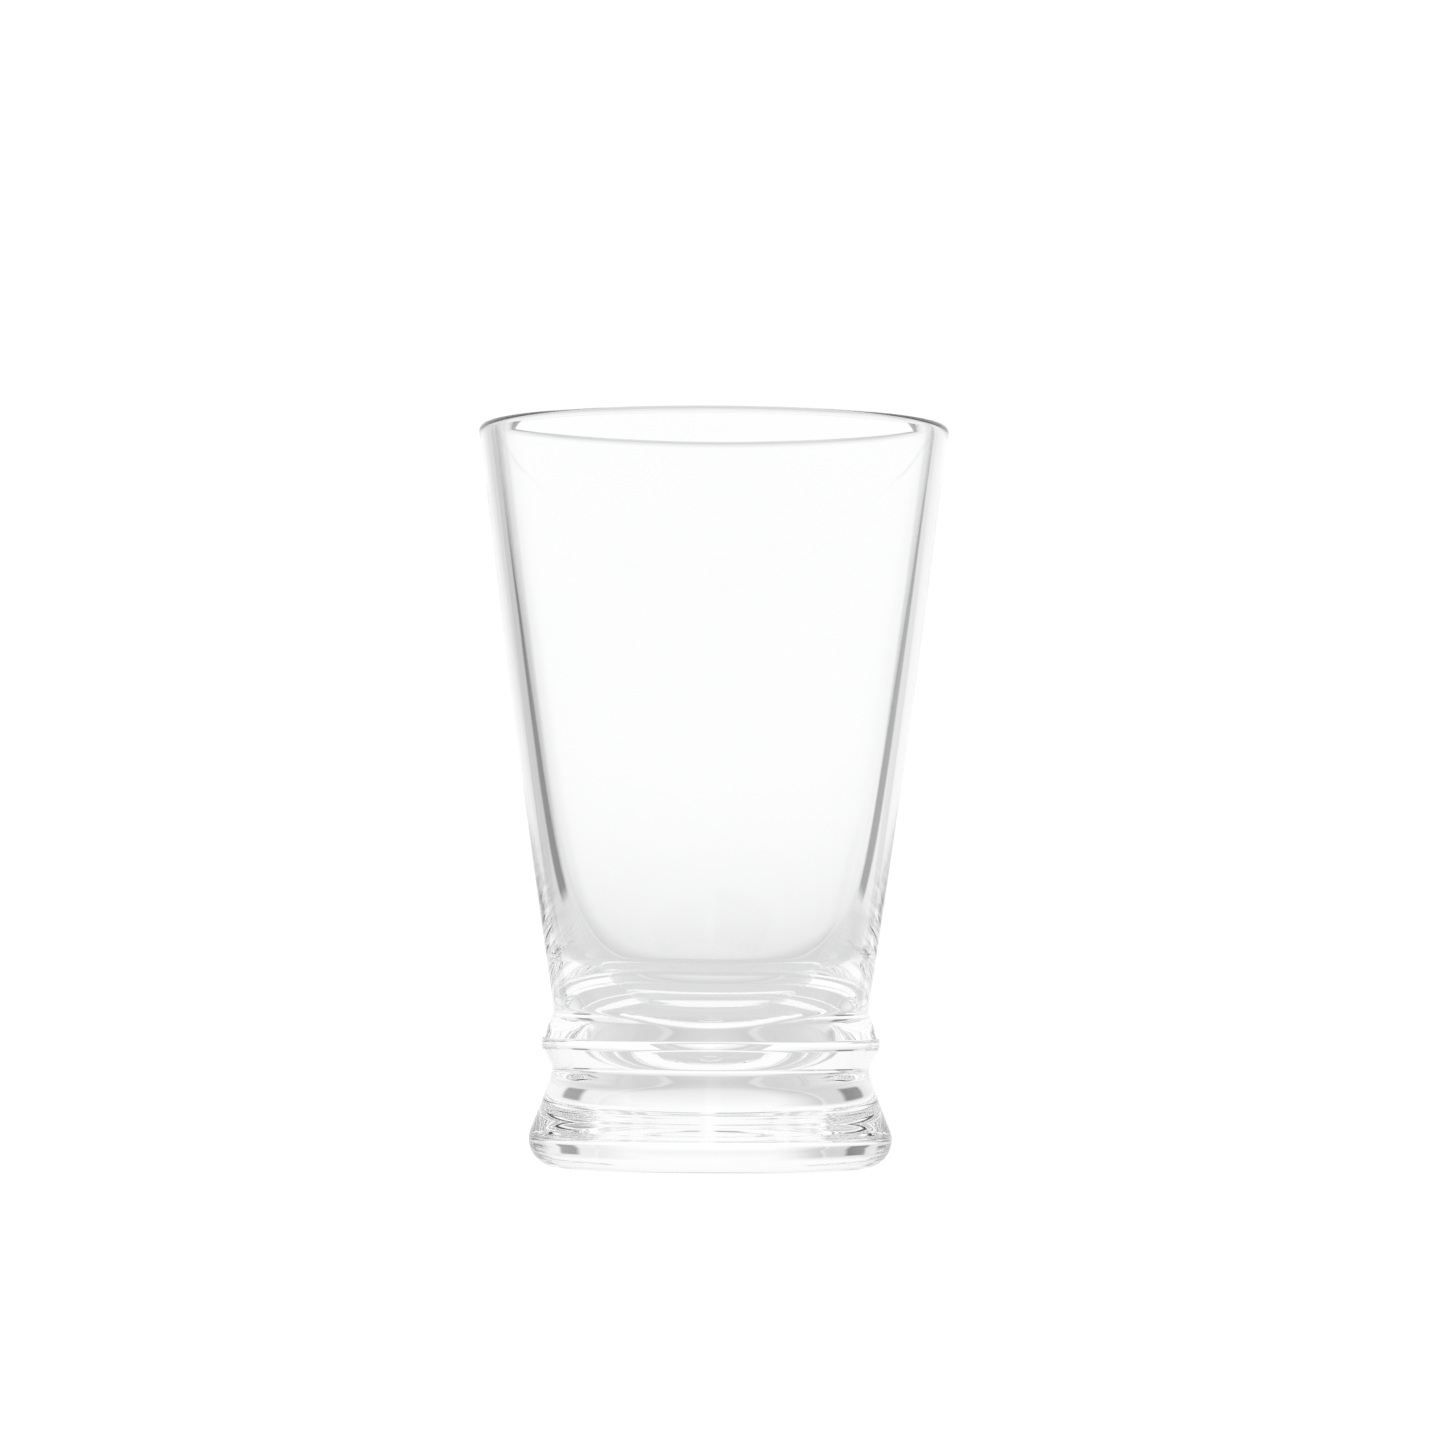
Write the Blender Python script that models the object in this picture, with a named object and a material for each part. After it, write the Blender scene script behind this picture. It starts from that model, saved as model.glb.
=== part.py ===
"""Footed pint glass: one piece of clear glass, turned about Z and standing on Z = 0.

Run with  blender --background --python part.py  or from Blender's text editor.
Everything is worked out from the driving dimensions below, in metres.
"""

import math

import bpy
from mathutils import Vector

MM = 0.001

# Overall
HEIGHT = 152.0 * MM
SEGMENTS = 72
ARC_STEP = math.radians(20.0)

# Foot: a skirt that flares to a rounded edge and stands on a flat ring round a shallow recess
FOOT_EDGE_RADIUS = 39.9 * MM
FOOT_FILLET = 5.7 * MM
FLANK_BREAK_RADIUS = 34.6 * MM
FLANK_BREAK_Z = 13.2 * MM
FLANK_BREAK_FILLET = 20.0 * MM
STAND_RING_INNER_RADIUS = 25.0 * MM
RECESS_DEPTH = 1.2 * MM
RECESS_STEPS = 5

# Collar: a rounded ring between two waists
LOWER_WAIST_RADIUS = 32.3 * MM
LOWER_WAIST_Z = 20.0 * MM
LOWER_WAIST_FILLET = 1.8 * MM
COLLAR_RADIUS = 34.6 * MM
COLLAR_LOW_Z = 24.3 * MM
COLLAR_LOW_FILLET = 1.3 * MM
COLLAR_HIGH_Z = 26.1 * MM
COLLAR_HIGH_FILLET = 1.9 * MM
UPPER_WAIST_RADIUS = 32.2 * MM
UPPER_WAIST_Z = 31.7 * MM
UPPER_WAIST_FILLET = 4.5 * MM

# Body: a cone, very slightly barrelled between its two ends, with a fully rounded lip
WALL_SLOPE = math.radians(7.7)
BARREL = 0.38 * MM
BARREL_LOW_Z = 36.0 * MM
BARREL_HIGH_Z = 140.0 * MM
BARREL_STEPS = 10
LIP_WALL = 3.0 * MM

# Cavity: a straight side, steeper than the outside so that the wall thickens towards the
# base, and a deep round bottom
CAVITY_SLOPE = math.radians(8.6)
CAVITY_TURN_Z = 90.0 * MM
CAVITY_FLOOR_Z = 23.7 * MM
CAVITY_SIDE_PULL = 39.0 * MM
CAVITY_FLOOR_PULL = 26.0 * MM
CAVITY_STEPS = 18


def outer_wall_radius(z):
    """The outside of the body at a height."""
    share = min(1.0, max(0.0, (z - BARREL_LOW_Z) / (BARREL_HIGH_Z - BARREL_LOW_Z)))
    straight = UPPER_WAIST_RADIUS + (z - UPPER_WAIST_Z) * math.tan(WALL_SLOPE)
    return straight + BARREL * math.sin(math.pi * share)


def inner_wall_radius(z):
    """The cavity's straight side at a height."""
    lip_centre_z = HEIGHT - LIP_WALL / 2
    at_lip = outer_wall_radius(lip_centre_z) - LIP_WALL / math.cos(WALL_SLOPE)
    return at_lip - (lip_centre_z - z) * math.tan(CAVITY_SLOPE)


def rounded_corner(before, corner, after, radius):
    """Points along the arc that rounds a corner of the outline."""
    to_before = (before - corner).normalized()
    to_after = (after - corner).normalized()
    half_angle = to_before.angle(to_after) / 2
    middle = (to_before + to_after).normalized()
    centre = corner + middle * (radius / math.sin(half_angle))
    first_spoke = corner + to_before * (radius / math.tan(half_angle)) - centre
    last_spoke = corner + to_after * (radius / math.tan(half_angle)) - centre
    first = math.atan2(first_spoke.y, first_spoke.x)
    last = math.atan2(last_spoke.y, last_spoke.x)
    turn = (last - first + math.pi) % math.tau - math.pi
    steps = max(2, math.ceil(abs(turn) / ARC_STEP))
    angles = (first + turn * i / steps for i in range(steps + 1))
    return [centre + radius * Vector((math.cos(a), math.sin(a))) for a in angles]


def cavity_curve():
    """The cavity from the centre of its floor up to where its side runs straight."""
    floor = Vector((0.0, CAVITY_FLOOR_Z))
    side = Vector((inner_wall_radius(CAVITY_TURN_Z), CAVITY_TURN_Z))
    floor_handle = floor + Vector((CAVITY_FLOOR_PULL, 0.0))
    down_the_side = Vector((-math.sin(CAVITY_SLOPE), -math.cos(CAVITY_SLOPE)))
    side_handle = side + CAVITY_SIDE_PULL * down_the_side
    points = []
    for i in range(CAVITY_STEPS + 1):
        t = i / CAVITY_STEPS
        s = 1.0 - t
        points.append(
            s**3 * floor + 3 * s**2 * t * floor_handle + 3 * s * t**2 * side_handle + t**3 * side
        )
    return points


def lip():
    """The lip from the cavity's side over to the outside, as a full round."""
    centre_z = HEIGHT - LIP_WALL / 2
    along_wall = Vector((math.sin(WALL_SLOPE), math.cos(WALL_SLOPE)))
    across_wall = Vector((-math.cos(WALL_SLOPE), math.sin(WALL_SLOPE)))
    centre_radius = (inner_wall_radius(centre_z) + outer_wall_radius(centre_z)) / 2
    centre = Vector((centre_radius, centre_z))
    steps = math.ceil(math.pi / ARC_STEP)
    points = []
    for i in range(steps + 1):
        angle = math.pi * i / steps
        spoke = math.cos(angle) * across_wall + math.sin(angle) * along_wall
        points.append(centre + LIP_WALL / 2 * spoke)
    return points


def barrel():
    """The outside of the body from under the lip down to the upper waist."""
    points = []
    for i in range(BARREL_STEPS + 1):
        z = BARREL_HIGH_Z + (BARREL_LOW_Z - BARREL_HIGH_Z) * i / BARREL_STEPS
        points.append(Vector((outer_wall_radius(z), z)))
    return points


def collar_and_foot(top):
    """The outside from the foot of the body, at top, down to where the foot meets the ground."""
    corners = (
        (Vector((UPPER_WAIST_RADIUS, UPPER_WAIST_Z)), UPPER_WAIST_FILLET),
        (Vector((COLLAR_RADIUS, COLLAR_HIGH_Z)), COLLAR_HIGH_FILLET),
        (Vector((COLLAR_RADIUS, COLLAR_LOW_Z)), COLLAR_LOW_FILLET),
        (Vector((LOWER_WAIST_RADIUS, LOWER_WAIST_Z)), LOWER_WAIST_FILLET),
        (Vector((FLANK_BREAK_RADIUS, FLANK_BREAK_Z)), FLANK_BREAK_FILLET),
        (Vector((FOOT_EDGE_RADIUS, 0.0)), FOOT_FILLET),
    )
    stand_ring = Vector((STAND_RING_INNER_RADIUS, 0.0))
    path = [top] + [corner for corner, _ in corners] + [stand_ring]
    points = []
    for (corner, fillet), before, after in zip(corners, path, path[2:]):
        points += rounded_corner(before, corner, after, fillet)
    return points


def recess():
    """The underside from the stand ring's inner edge up to the recess's centre."""
    points = []
    for i in range(RECESS_STEPS + 1):
        share = 1.0 - i / RECESS_STEPS
        height = RECESS_DEPTH * (1.0 - share**2)
        points.append(Vector((STAND_RING_INNER_RADIUS * share, height)))
    return points


def glass_outline():
    """Half of the glass's section, from the cavity's floor over the lip to under the foot."""
    body = barrel()
    return cavity_curve() + lip() + body + collar_and_foot(body[-1]) + recess()


def clear_glass():
    material = bpy.data.materials.new("clear_glass")
    material.use_nodes = True
    shader = material.node_tree.nodes["Principled BSDF"]
    shader.inputs["Base Color"].default_value = (0.97, 0.98, 0.98, 1.0)
    shader.inputs["Roughness"].default_value = 0.0
    shader.inputs["Metallic"].default_value = 0.0
    shader.inputs["IOR"].default_value = 1.52
    shader.inputs["Transmission Weight"].default_value = 1.0
    return material


def turned(name, outline, material):
    """An outline in the XZ plane turned about Z into a closed solid."""
    mesh = bpy.data.meshes.new(name)
    points = [(p.x, 0.0, p.y) for p in outline]
    mesh.from_pydata(points, [(i, i + 1) for i in range(len(points) - 1)], [])
    mesh.materials.append(material)
    solid = bpy.data.objects.new(name, mesh)
    bpy.context.scene.collection.objects.link(solid)
    screw = solid.modifiers.new("turn", "SCREW")
    screw.axis = "Z"
    screw.angle = math.tau
    screw.steps = SEGMENTS
    screw.render_steps = SEGMENTS
    screw.use_merge_vertices = True
    screw.merge_threshold = 0.01 * MM
    screw.use_smooth_shade = True
    return solid


def main():
    for leftover in list(bpy.data.objects):
        bpy.data.objects.remove(leftover)
    turned("glass_body", glass_outline(), clear_glass())


main()
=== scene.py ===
"""A footed pint glass of clear glass on a pale table, lit by a soft white studio.

The glass is one turned piece. Its outline follows the CAD model's dimensions at full smoothness,
and its surface carries the faint flow waves and underside marks that forming leaves.
"""

import math

import bpy
from mathutils import Matrix, Vector, noise


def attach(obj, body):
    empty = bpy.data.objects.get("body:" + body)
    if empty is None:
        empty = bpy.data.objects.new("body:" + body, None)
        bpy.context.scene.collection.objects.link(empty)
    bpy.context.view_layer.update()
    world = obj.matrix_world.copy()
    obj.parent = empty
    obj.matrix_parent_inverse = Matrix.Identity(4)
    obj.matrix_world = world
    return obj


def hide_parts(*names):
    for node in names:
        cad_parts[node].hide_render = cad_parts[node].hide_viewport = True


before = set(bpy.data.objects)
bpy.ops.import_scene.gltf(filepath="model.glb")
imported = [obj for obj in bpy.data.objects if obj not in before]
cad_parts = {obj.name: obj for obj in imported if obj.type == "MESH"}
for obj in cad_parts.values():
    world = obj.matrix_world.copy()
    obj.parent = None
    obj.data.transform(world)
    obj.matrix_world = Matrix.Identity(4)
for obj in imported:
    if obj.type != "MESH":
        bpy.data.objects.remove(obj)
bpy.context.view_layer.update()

MM = 0.001

# The glass's outline, from the foot up, as it is in the CAD model
HEIGHT = 152.0 * MM
FOOT_EDGE_RADIUS = 39.9 * MM
FOOT_FILLET = 5.7 * MM
FLANK_BREAK_RADIUS = 34.6 * MM
FLANK_BREAK_Z = 13.2 * MM
FLANK_BREAK_FILLET = 20.0 * MM
STAND_RING_INNER_RADIUS = 25.0 * MM
RECESS_DEPTH = 1.2 * MM
LOWER_WAIST_RADIUS = 32.3 * MM
LOWER_WAIST_Z = 20.0 * MM
LOWER_WAIST_FILLET = 1.8 * MM
COLLAR_RADIUS = 34.6 * MM
COLLAR_LOW_Z = 24.3 * MM
COLLAR_LOW_FILLET = 1.3 * MM
COLLAR_HIGH_Z = 26.1 * MM
COLLAR_HIGH_FILLET = 1.9 * MM
UPPER_WAIST_RADIUS = 32.2 * MM
UPPER_WAIST_Z = 31.7 * MM
UPPER_WAIST_FILLET = 4.5 * MM
WALL_SLOPE = math.radians(7.7)
BARREL = 0.38 * MM
BARREL_LOW_Z = 36.0 * MM
BARREL_HIGH_Z = 140.0 * MM
LIP_WALL = 3.0 * MM
CAVITY_SLOPE = math.radians(8.6)
CAVITY_TURN_Z = 90.0 * MM
CAVITY_FLOOR_Z = 23.7 * MM
CAVITY_SIDE_PULL = 39.0 * MM
CAVITY_FLOOR_PULL = 26.0 * MM

# How finely the outline is drawn and turned
SEGMENTS = 256
ARC_STEP = math.radians(7.5)
LONGEST_STEP = 1.5 * MM
CAVITY_STEPS = 40
BARREL_STEPS = 60
RECESS_STEPS = 50

# Rings pressed into the recess under the foot: radius, depth and half-width
UNDERSIDE_MARKS = (
    (2.7 * MM, 0.40 * MM, 0.6 * MM),
    (11.8 * MM, 0.08 * MM, 0.8 * MM),
    (17.5 * MM, 0.07 * MM, 1.0 * MM),
)

# Waves left by forming: how long they are round the glass and up it, how high they are up to
# the base's top and from the wall's start on, and the height over which they grow from nothing
WAVE_ROUND = 22.0 * MM
WAVE_UP = 9.0 * MM
BASE_WAVE = 0.022 * MM
BASE_TOP_Z = 34.0 * MM
WALL_WAVE = 0.006 * MM
WALL_START_Z = 60.0 * MM
WAVE_GROWTH_Z = 1.0 * MM

WHITE = (1.0, 1.0, 1.0, 1.0)

# Glass: its index, the tint that it drifts towards from white, and the drift's grain
GLASS_IOR = 1.52
GLASS_TINT = (0.985, 0.992, 0.990, 1.0)
GLASS_DRIFT_SCALE = 45.0
GLASS_DRIFT_DETAIL = 3.0

# Table: its size in metres, its board's greys and glow, and the painted sheen (white emission in
# place of reflection) that it has when seen edge on
TABLE_RADIUS = 4.0
TABLE_Z = -0.2 * MM
BOARD_DARKEST = 0.78
BOARD_PALEST = 0.82
BOARD_MOTTLE_SCALE = 9.0
BOARD_MOTTLE_DETAIL = 4.0
BOARD_ROUGHNESS = 0.7
BOARD_GLOW = 0.12
# Painted sheen: strength and Fresnel index of the white emission that stands in for reflection
PAINTED_SHEEN_STRENGTH = 1.15
PAINTED_SHEEN_IOR = 1.9

# Studio: how white it is to the eye, and then how it is to light. Directions are in degrees:
# turn is to the right of the middle of the wall behind the glass, and rise is above the horizon
EYE_WHITE = 1.02

# How bright the wall is, by the angle off its middle
WALL_TONES = (
    (0.0, 1.0),
    (13.0, 1.0),
    (20.0, 0.86),
    (26.0, 0.67),
    (28.2, 0.61),
    (28.8, 0.76),
    (29.4, 0.76),
    (30.2, 0.66),
    (40.0, 0.66),
    (54.0, 0.74),
    (66.0, 0.92),
    (80.0, 1.0),
    (180.0, 1.0),
)

# How bright the lower half can be, by the angle below the horizon
TABLE_TONES = (
    (0.0, 1.0),
    (4.0, 0.96),
    (9.0, 0.92),
    (16.0, 0.86),
    (26.0, 0.76),
    (34.0, 0.70),
    (90.0, 0.70),
)

# The wall is lifted towards white on its right half, and everywhere above the horizon
RIGHT_LIFT = 0.6
RIGHT_LIFT_TURN = (4.0, 18.0)
RIGHT_LIFT_RISE = (-24.0, -14.0)
SKY_LIFT_RISE = (-2.0, 9.0)

# Soft dark flags: from, to and softness in turn, the same in rise, and how dark
FLAGS = (
    ((-49.0, -40.0, 3.5), (-17.0, -2.0, 4.0), 0.74),
    ((38.0, 45.0, 3.5), (-16.0, -2.0, 4.0), 0.66),
    ((-174.0, -120.0, 5.0), (28.0, 43.0, 3.0), 0.60),
    ((116.0, 170.0, 5.0), (30.0, 42.0, 3.0), 0.42),
)

# Camera: lens and sensor in millimetres, and places in metres
LENS = 143.0
SENSOR = 36.0
CLIP_START = 0.05
DISTANCE = 1.177
CAMERA_HEIGHT = 50.5 * MM
PITCH = math.radians(1.97)
PAN = math.radians(0.10)
ROLL = math.radians(0.3)

# How often light may bounce, so that it gets through the thick base
BOUNCES = 24


def outer_wall_radius(z):
    """The outside of the cone, which is very slightly barrelled between its two ends."""
    share = min(1.0, max(0.0, (z - BARREL_LOW_Z) / (BARREL_HIGH_Z - BARREL_LOW_Z)))
    straight = UPPER_WAIST_RADIUS + (z - UPPER_WAIST_Z) * math.tan(WALL_SLOPE)
    return straight + BARREL * math.sin(math.pi * share)


def inner_wall_radius(z):
    """The cavity's straight side, whose slope makes the wall thicken towards the base."""
    lip_centre_z = HEIGHT - LIP_WALL / 2
    at_lip = outer_wall_radius(lip_centre_z) - LIP_WALL / math.cos(WALL_SLOPE)
    return at_lip - (lip_centre_z - z) * math.tan(CAVITY_SLOPE)


def rounded_corner(before, corner, after, radius):
    """Points along the arc that rounds a corner of the outline."""
    to_before = (before - corner).normalized()
    to_after = (after - corner).normalized()
    half_angle = to_before.angle(to_after) / 2
    middle = (to_before + to_after).normalized()
    centre = corner + middle * (radius / math.sin(half_angle))
    first_spoke = corner + to_before * (radius / math.tan(half_angle)) - centre
    last_spoke = corner + to_after * (radius / math.tan(half_angle)) - centre
    first = math.atan2(first_spoke.y, first_spoke.x)
    last = math.atan2(last_spoke.y, last_spoke.x)
    turn = (last - first + math.pi) % math.tau - math.pi
    steps = max(2, math.ceil(abs(turn) / ARC_STEP))
    angles = (first + turn * i / steps for i in range(steps + 1))
    return [centre + radius * Vector((math.cos(a), math.sin(a))) for a in angles]


def cavity_curve():
    """The cavity from the centre of its floor up to where its side runs straight."""
    floor = Vector((0.0, CAVITY_FLOOR_Z))
    side = Vector((inner_wall_radius(CAVITY_TURN_Z), CAVITY_TURN_Z))
    floor_handle = floor + Vector((CAVITY_FLOOR_PULL, 0.0))
    down_the_side = Vector((-math.sin(CAVITY_SLOPE), -math.cos(CAVITY_SLOPE)))
    side_handle = side + CAVITY_SIDE_PULL * down_the_side
    points = []
    for i in range(CAVITY_STEPS + 1):
        t = i / CAVITY_STEPS
        s = 1.0 - t
        points.append(
            s**3 * floor + 3 * s**2 * t * floor_handle + 3 * s * t**2 * side_handle + t**3 * side
        )
    return points


def lip():
    """The lip from the cavity's side over to the outside, as a full round."""
    centre_z = HEIGHT - LIP_WALL / 2
    along_wall = Vector((math.sin(WALL_SLOPE), math.cos(WALL_SLOPE)))
    across_wall = Vector((-math.cos(WALL_SLOPE), math.sin(WALL_SLOPE)))
    centre_radius = (inner_wall_radius(centre_z) + outer_wall_radius(centre_z)) / 2
    centre = Vector((centre_radius, centre_z))
    steps = math.ceil(math.pi / ARC_STEP)
    points = []
    for i in range(steps + 1):
        angle = math.pi * i / steps
        spoke = math.cos(angle) * across_wall + math.sin(angle) * along_wall
        points.append(centre + LIP_WALL / 2 * spoke)
    return points


def barrel():
    """The outside of the body from under the lip down to the upper waist."""
    points = []
    for i in range(BARREL_STEPS + 1):
        z = BARREL_HIGH_Z + (BARREL_LOW_Z - BARREL_HIGH_Z) * i / BARREL_STEPS
        points.append(Vector((outer_wall_radius(z), z)))
    return points


def collar_and_foot(top):
    """The outside from the foot of the body, at top, down to where the foot meets the table."""
    corners = (
        (Vector((UPPER_WAIST_RADIUS, UPPER_WAIST_Z)), UPPER_WAIST_FILLET),
        (Vector((COLLAR_RADIUS, COLLAR_HIGH_Z)), COLLAR_HIGH_FILLET),
        (Vector((COLLAR_RADIUS, COLLAR_LOW_Z)), COLLAR_LOW_FILLET),
        (Vector((LOWER_WAIST_RADIUS, LOWER_WAIST_Z)), LOWER_WAIST_FILLET),
        (Vector((FLANK_BREAK_RADIUS, FLANK_BREAK_Z)), FLANK_BREAK_FILLET),
        (Vector((FOOT_EDGE_RADIUS, 0.0)), FOOT_FILLET),
    )
    stand_ring = Vector((STAND_RING_INNER_RADIUS, 0.0))
    path = [top] + [corner for corner, _ in corners] + [stand_ring]
    points = []
    for (corner, fillet), before, after in zip(corners, path, path[2:]):
        points += rounded_corner(before, corner, after, fillet)
    return points


def recess():
    """The underside from the stand ring's inner edge to its centre, with its pressed rings."""
    points = []
    for i in range(RECESS_STEPS + 1):
        share = (1.0 - i / RECESS_STEPS) ** 2
        radius = STAND_RING_INNER_RADIUS * share
        height = RECESS_DEPTH * (1.0 - share**2)
        for ring, depth, half_width in UNDERSIDE_MARKS:
            height += depth * math.exp(-(((radius - ring) / half_width) ** 2))
        points.append(Vector((radius, height)))
    return points


def refined(points, longest):
    """The same outline with its straight stretches cut into short steps."""
    fine = [points[0]]
    for here, there in zip(points, points[1:]):
        steps = max(1, math.ceil((there - here).length / longest))
        fine += [here.lerp(there, i / steps) for i in range(1, steps + 1)]
    return fine


def glass_outline():
    """Half of the glass's section, from the cavity's floor over the lip to under the foot."""
    body = barrel()
    points = cavity_curve() + lip() + body + collar_and_foot(body[-1]) + recess()
    return refined(points, LONGEST_STEP)


def wave_height(place):
    """How far forming left the surface off its true outline at a place."""
    share = min(1.0, max(0.0, (place.z - BASE_TOP_Z) / (WALL_START_Z - BASE_TOP_Z)))
    size = BASE_WAVE + (WALL_WAVE - BASE_WAVE) * share
    growth = min(1.0, place.z / WAVE_GROWTH_Z)
    stretched = Vector((place.x / WAVE_ROUND, place.y / WAVE_ROUND, place.z / WAVE_UP))
    return size * growth * noise.noise(stretched)


def round_the_axis(radius, z, segment):
    """The place at a radius and height, so many segments round the axis."""
    angle = math.tau * segment / SEGMENTS
    return Vector((radius * math.cos(angle), radius * math.sin(angle), z))


def turned(name, outline):
    """A closed mesh of the outline turned about Z, whose first and last points are on the axis."""
    rings = outline[1:-1]
    vertices = [Vector((0.0, 0.0, outline[0].y))]
    for before, here, after in zip(outline, rings, outline[2:]):
        along = (after - before).normalized()
        outward = Vector((-along.y, along.x))
        for segment in range(SEGMENTS):
            place = round_the_axis(here.x, here.y, segment)
            push = wave_height(place) * outward
            vertices.append(place + round_the_axis(push.x, push.y, segment))
    vertices.append(Vector((0.0, 0.0, outline[-1].y)))
    first_ring = 1
    last_ring = first_ring + (len(rings) - 1) * SEGMENTS
    last_vertex = len(vertices) - 1
    faces = []
    for segment in range(SEGMENTS):
        beside = (segment + 1) % SEGMENTS
        faces.append((0, first_ring + segment, first_ring + beside))
        for ring in range(first_ring, last_ring, SEGMENTS):
            next_ring = ring + SEGMENTS
            faces.append((ring + segment, next_ring + segment, next_ring + beside, ring + beside))
        faces.append((last_ring + segment, last_vertex, last_ring + beside))
    mesh = bpy.data.meshes.new(name)
    mesh.from_pydata(vertices, [], faces)
    mesh.shade_smooth()
    obj = bpy.data.objects.new(name, mesh)
    bpy.context.scene.collection.objects.link(obj)
    return obj


def number(tree, operation, *values):
    """A Math node's result, from sockets or plain numbers."""
    node = tree.nodes.new("ShaderNodeMath")
    node.operation = operation
    for socket, value in zip(node.inputs, values):
        if isinstance(value, bpy.types.NodeSocket):
            tree.links.new(value, socket)
        else:
            socket.default_value = value
    return node.outputs["Value"]


def step_up(tree, value, low, high, to_min=0.0, to_max=1.0):
    """A smooth step of value from to_min, at low, to to_max, at high."""
    node = tree.nodes.new("ShaderNodeMapRange")
    node.interpolation_type = "SMOOTHSTEP"
    tree.links.new(value, node.inputs["Value"])
    node.inputs["From Min"].default_value = low
    node.inputs["From Max"].default_value = high
    node.inputs["To Min"].default_value = to_min
    node.inputs["To Max"].default_value = to_max
    return node.outputs["Result"]


def window(tree, value, low, high, soft):
    """1 where value is between low and high, falling softly to 0 outside."""
    rise = step_up(tree, value, low - soft, low)
    fall = step_up(tree, value, high, high + soft, 1.0, 0.0)
    return number(tree, "MULTIPLY", rise, fall)


def grey(brightness):
    """A grey as a colour socket takes it."""
    return (brightness, brightness, brightness, 1.0)


def ramp(tree, value, stops):
    """A grey ramp over value, from (place, brightness) pairs that start at 0."""
    top = stops[-1][0]
    node = tree.nodes.new("ShaderNodeValToRGB")
    tree.links.new(number(tree, "DIVIDE", value, top), node.inputs["Fac"])
    elements = node.color_ramp.elements
    elements.remove(elements[-1])
    elements[0].color = grey(stops[0][1])
    for place, brightness in stops[1:]:
        elements.new(place / top).color = grey(brightness)
    return node.outputs["Color"]


def clear_glass():
    """Clear soda-lime glass, with the faintest drift in how clear it is."""
    material = bpy.data.materials.new("clear_glass")
    material.use_nodes = True
    tree = material.node_tree
    shader = tree.nodes["Principled BSDF"]
    shader.inputs["Roughness"].default_value = 0.0
    shader.inputs["IOR"].default_value = GLASS_IOR
    shader.inputs["Transmission Weight"].default_value = 1.0
    place = tree.nodes.new("ShaderNodeTexCoord")
    drift = tree.nodes.new("ShaderNodeTexNoise")
    drift.inputs["Scale"].default_value = GLASS_DRIFT_SCALE
    drift.inputs["Detail"].default_value = GLASS_DRIFT_DETAIL
    tree.links.new(place.outputs["Object"], drift.inputs["Vector"])
    tint = tree.nodes.new("ShaderNodeMix")
    tint.data_type = "RGBA"
    tint.inputs["A"].default_value = GLASS_TINT
    tint.inputs["B"].default_value = WHITE
    tree.links.new(drift.outputs["Fac"], tint.inputs["Factor"])
    tree.links.new(tint.outputs["Result"], shader.inputs["Base Color"])
    return material


def table_surface():
    """Pale matte board with a painted sheen: white emission in place of reflection, where it is seen
    at a low angle.
    """
    material = bpy.data.materials.new("table")
    material.use_nodes = True
    tree = material.node_tree
    board = tree.nodes["Principled BSDF"]
    board.inputs["Roughness"].default_value = BOARD_ROUGHNESS
    board.inputs["Specular IOR Level"].default_value = 0.0
    board.inputs["Emission Color"].default_value = WHITE
    board.inputs["Emission Strength"].default_value = BOARD_GLOW
    place = tree.nodes.new("ShaderNodeTexCoord")
    mottle = tree.nodes.new("ShaderNodeTexNoise")
    mottle.inputs["Scale"].default_value = BOARD_MOTTLE_SCALE
    mottle.inputs["Detail"].default_value = BOARD_MOTTLE_DETAIL
    tree.links.new(place.outputs["Object"], mottle.inputs["Vector"])
    tone = tree.nodes.new("ShaderNodeMix")
    tone.data_type = "RGBA"
    tone.inputs["A"].default_value = grey(BOARD_DARKEST)
    tone.inputs["B"].default_value = grey(BOARD_PALEST)
    tree.links.new(mottle.outputs["Fac"], tone.inputs["Factor"])
    tree.links.new(tone.outputs["Result"], board.inputs["Base Color"])
    # Painted sheen: white emission, mixed in by a Fresnel factor, stands in for the board's
    # reflection at low angles
    painted_sheen = tree.nodes.new("ShaderNodeEmission")
    painted_sheen.inputs["Strength"].default_value = PAINTED_SHEEN_STRENGTH
    painted_sheen_share = tree.nodes.new("ShaderNodeFresnel")
    painted_sheen_share.inputs["IOR"].default_value = PAINTED_SHEEN_IOR
    mix = tree.nodes.new("ShaderNodeMixShader")
    tree.links.new(painted_sheen_share.outputs["Fac"], mix.inputs["Fac"])
    tree.links.new(board.outputs["BSDF"], mix.inputs[1])
    tree.links.new(painted_sheen.outputs["Emission"], mix.inputs[2])
    tree.links.new(mix.outputs["Shader"], tree.nodes["Material Output"].inputs["Surface"])
    return material


def table():
    """The table, which the glass doesn't refract: there it shows the studio instead."""
    rim = [round_the_axis(TABLE_RADIUS, TABLE_Z, segment) for segment in range(SEGMENTS)]
    mesh = bpy.data.meshes.new("table")
    mesh.from_pydata(rim, [], [tuple(range(SEGMENTS))])
    mesh.materials.append(table_surface())
    board = bpy.data.objects.new("table", mesh)
    bpy.context.scene.collection.objects.link(board)
    board.visible_transmission = False
    board.visible_glossy = False


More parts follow.
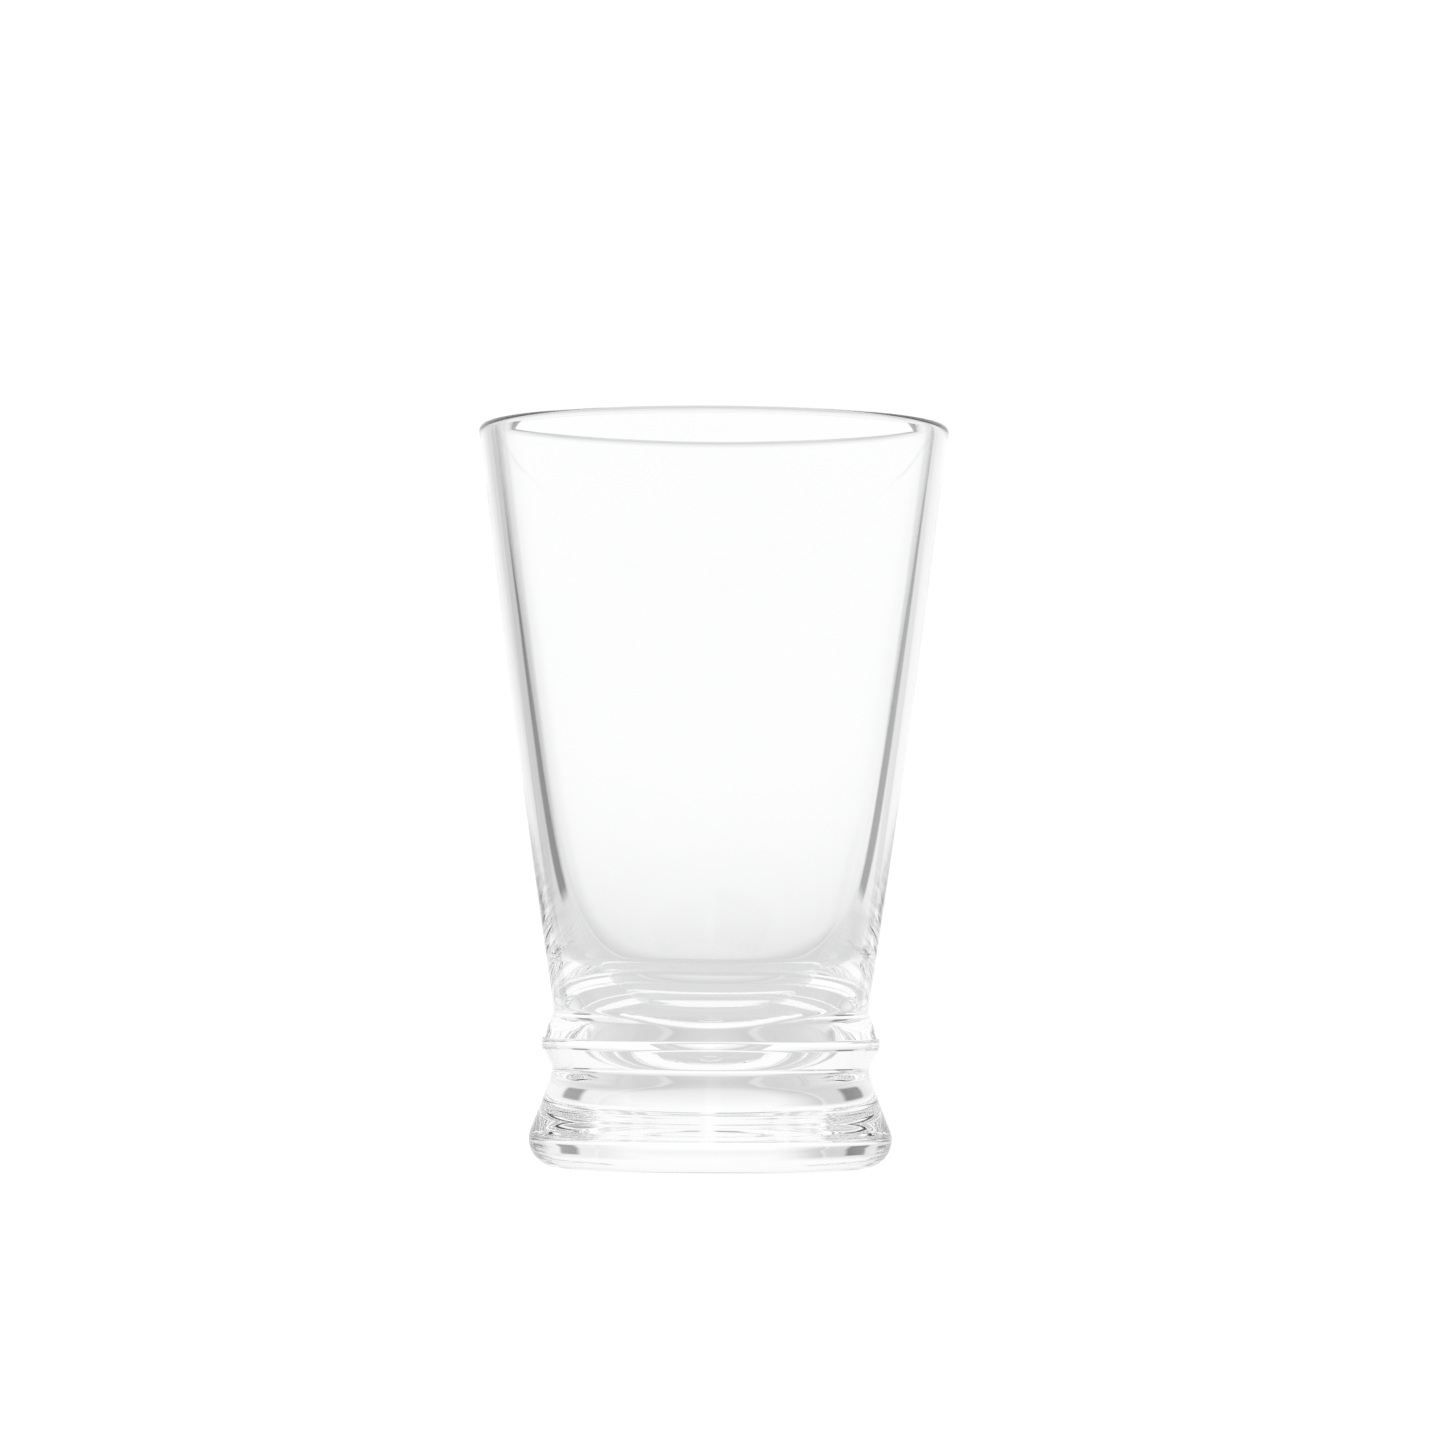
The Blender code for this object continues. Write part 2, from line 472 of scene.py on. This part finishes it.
def studio():
    """White all round to the eye. To light, a white wall behind, softer sides and dark flags."""
    world = bpy.data.worlds.new("studio")
    bpy.context.scene.world = world
    world.use_nodes = True
    tree = world.node_tree
    background = tree.nodes["Background"]
    coordinates = tree.nodes.new("ShaderNodeTexCoord")
    axes = tree.nodes.new("ShaderNodeSeparateXYZ")
    tree.links.new(coordinates.outputs["Generated"], axes.inputs["Vector"])
    x, y, z = axes.outputs
    turn = number(tree, "DEGREES", number(tree, "ARCTAN2", x, y))
    rise = number(tree, "DEGREES", number(tree, "ARCSINE", z))

    # Angle off the wall's middle, for which everything above the horizon counts as level
    below = number(tree, "MINIMUM", z, 0.0)
    level = number(tree, "MULTIPLY_ADD", x, x, number(tree, "MULTIPLY", y, y))
    length = number(tree, "SQRT", number(tree, "MULTIPLY_ADD", below, below, level))
    off_middle = number(tree, "DEGREES", number(tree, "ARCCOSINE", number(tree, "DIVIDE", y, length)))
    wall = ramp(tree, off_middle, WALL_TONES)

    # Of the two lifts, the stronger one counts
    to_right = step_up(tree, turn, *RIGHT_LIFT_TURN, 0.0, RIGHT_LIFT)
    right = number(tree, "MULTIPLY", to_right, step_up(tree, rise, *RIGHT_LIFT_RISE))
    lift = number(tree, "MAXIMUM", right, step_up(tree, rise, *SKY_LIFT_RISE))
    lifted = number(tree, "MULTIPLY_ADD", lift, number(tree, "SUBTRACT", 1.0, wall), wall)

    # Below the horizon the table's tone caps the wall's
    depth = number(tree, "MULTIPLY", rise, -1.0)
    cap = ramp(tree, number(tree, "MAXIMUM", depth, 0.0), TABLE_TONES)
    tone = number(tree, "MINIMUM", lifted, cap)

    for turns, rises, dark in FLAGS:
        across = window(tree, turn, *turns)
        up = window(tree, rise, *rises)
        shade = number(tree, "MULTIPLY", number(tree, "MULTIPLY", across, up), dark)
        tone = number(tree, "MULTIPLY", tone, number(tree, "SUBTRACT", 1.0, shade))

    # The eye sees plain white instead
    eye = tree.nodes.new("ShaderNodeLightPath").outputs["Is Camera Ray"]
    tone = number(tree, "MULTIPLY_ADD", eye, number(tree, "SUBTRACT", EYE_WHITE, tone), tone)
    tree.links.new(tone, background.inputs["Color"])


def camera():
    """The camera, square on to the glass at a third of its height, looking slightly up."""
    data = bpy.data.cameras.new("camera")
    data.lens = LENS
    data.sensor_width = SENSOR
    data.clip_start = CLIP_START
    obj = bpy.data.objects.new("camera", data)
    bpy.context.scene.collection.objects.link(obj)
    pitch = Matrix.Rotation(math.pi / 2 + PITCH, 4, "X")
    aim = Matrix.Rotation(-PAN, 4, "Z") @ pitch @ Matrix.Rotation(ROLL, 4, "Z")
    obj.matrix_world = Matrix.Translation((0.0, -DISTANCE, CAMERA_HEIGHT)) @ aim
    bpy.context.scene.camera = obj


def main():
    glass = turned("pint_glass", glass_outline())
    glass.data.materials.append(clear_glass())
    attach(glass, "root")
    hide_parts("glass_body")
    table()
    studio()
    camera()
    scene = bpy.context.scene
    scene.view_settings.view_transform = "Standard"
    scene.cycles.max_bounces = BOUNCES
    scene.cycles.transmission_bounces = BOUNCES
    scene.cycles.glossy_bounces = BOUNCES


main()
